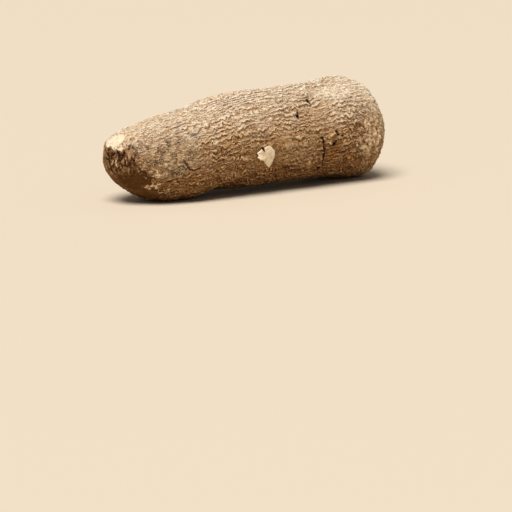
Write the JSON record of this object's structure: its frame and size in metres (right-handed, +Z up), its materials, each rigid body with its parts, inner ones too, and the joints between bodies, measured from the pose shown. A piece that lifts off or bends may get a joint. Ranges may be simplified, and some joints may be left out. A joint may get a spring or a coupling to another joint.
{
  "type": "yam tuber",
  "caption": "Whole yam tuber lying on its side: a tapered, slightly bent club with rough, corky brown skin and blunt ends.",
  "frame": {"origin": "on the surface the tuber rests on, under the middle of its box", "axes": "+X along the tuber from the narrow end to the thick end, +Z up as it lies"},
  "size_m": [0.374, 0.1258, 0.1193],
  "materials": {
    "yam_skin": "rough, dry, corky bark-like skin in tan to dark brown, with fine wavy wrinkles along the body"
  },
  "bodies": {
    "root": {"yam_tuber": "yam_skin"}
  },
  "joints": []
}
